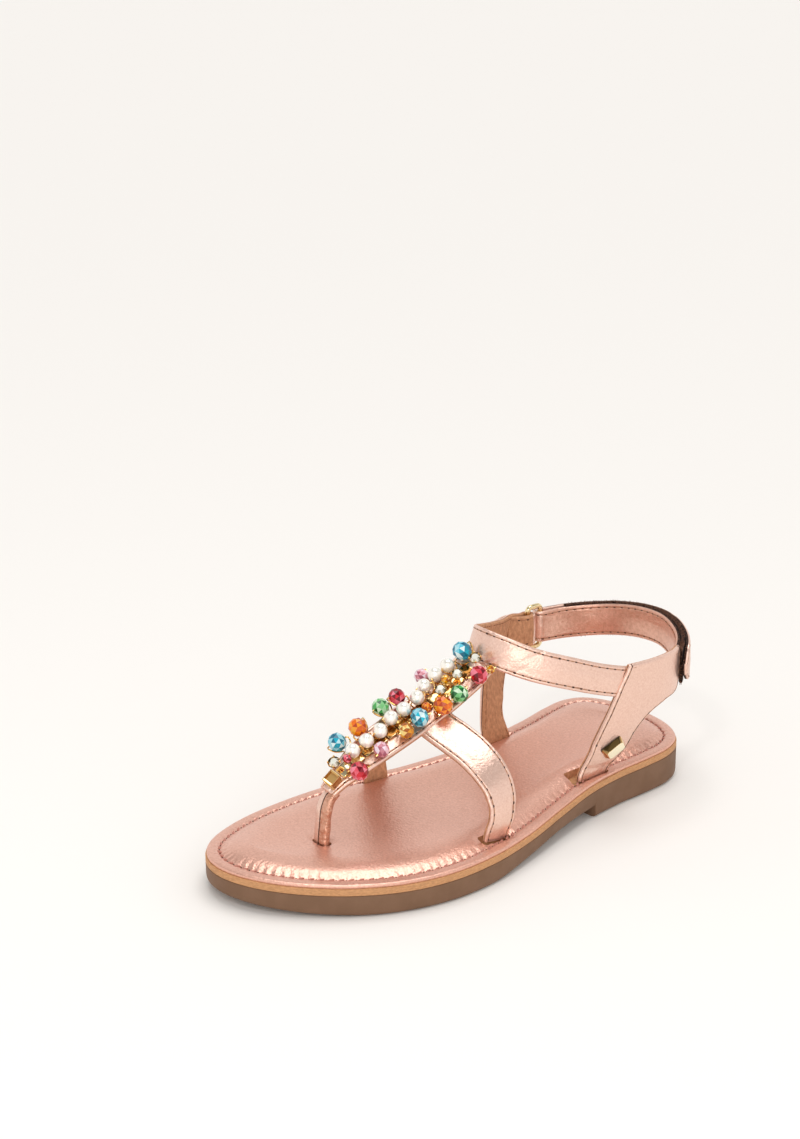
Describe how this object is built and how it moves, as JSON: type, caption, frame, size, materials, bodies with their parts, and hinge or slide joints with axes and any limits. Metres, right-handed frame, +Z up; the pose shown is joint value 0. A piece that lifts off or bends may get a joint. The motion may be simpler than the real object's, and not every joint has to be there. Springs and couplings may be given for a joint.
{
  "type": "greek sandal",
  "caption": "Flat left greek sandal for a child: rubber sole, padded leather footbed, beaded T-strap with side straps, instep strap and a heel strap through a ring.",
  "frame": {"origin": "on the floor, in the middle of the bounding box's bottom face", "axes": "+X to the shoe's outer side, +Y to the heel with the toe towards -Y, +Z up"},
  "size_m": [0.0888, 0.2135, 0.0767],
  "materials": {
    "rubber": "matte taupe moulded rubber",
    "tan_board": "natural tan leather board, plain edge",
    "rose_leather": "rose-gold metallic leather with a fine grain",
    "fastener": "dark brown hook-and-loop tape",
    "gold": "polished pale gold plating",
    "pearl": "imitation pearl coating",
    "clear_stone": "clear cut stone",
    "aqua_crystal": "aqua faceted bead, clear colour",
    "orange_crystal": "orange faceted bead, clear colour",
    "green_crystal": "green faceted bead, clear colour",
    "red_crystal": "red faceted bead, clear colour",
    "pink_crystal": "pink faceted bead, clear colour",
    "amber_crystal": "amber faceted bead, clear colour"
  },
  "bodies": {
    "root": {"outsole": "rubber", "midsole": "tan_board", "insole": "rose_leather", "upper": "rose_leather", "heel_strap": "rose_leather", "fastener_strip": "fastener", "ring": "gold", "rivet_cap": "gold", "rivet_back": "gold", "bead_bed": "gold", "box_slide": "gold", "pearl_1": "pearl", "pearl_2": "pearl", "pearl_3": "pearl", "pearl_4": "pearl", "pearl_5": "pearl", "pearl_6": "pearl", "pearl_7": "pearl", "pearl_8": "pearl", "pearl_9": "pearl", "crystal_1": "aqua_crystal", "crystal_2": "orange_crystal", "crystal_3": "green_crystal", "crystal_4": "red_crystal", "crystal_5": "pink_crystal", "crystal_6": "aqua_crystal", "crystal_7": "red_crystal", "crystal_8": "pink_crystal", "crystal_9": "amber_crystal", "crystal_10": "aqua_crystal", "crystal_11": "orange_crystal", "crystal_12": "green_crystal", "crystal_13": "red_crystal", "cup_1": "gold", "cup_2": "gold", "cup_3": "gold", "cup_4": "gold", "stone_1": "clear_stone", "stone_2": "clear_stone", "stone_3": "clear_stone", "stone_4": "clear_stone", "seed_1": "amber_crystal", "seed_2": "red_crystal", "seed_3": "orange_crystal", "seed_4": "amber_crystal"}
  },
  "joints": []
}
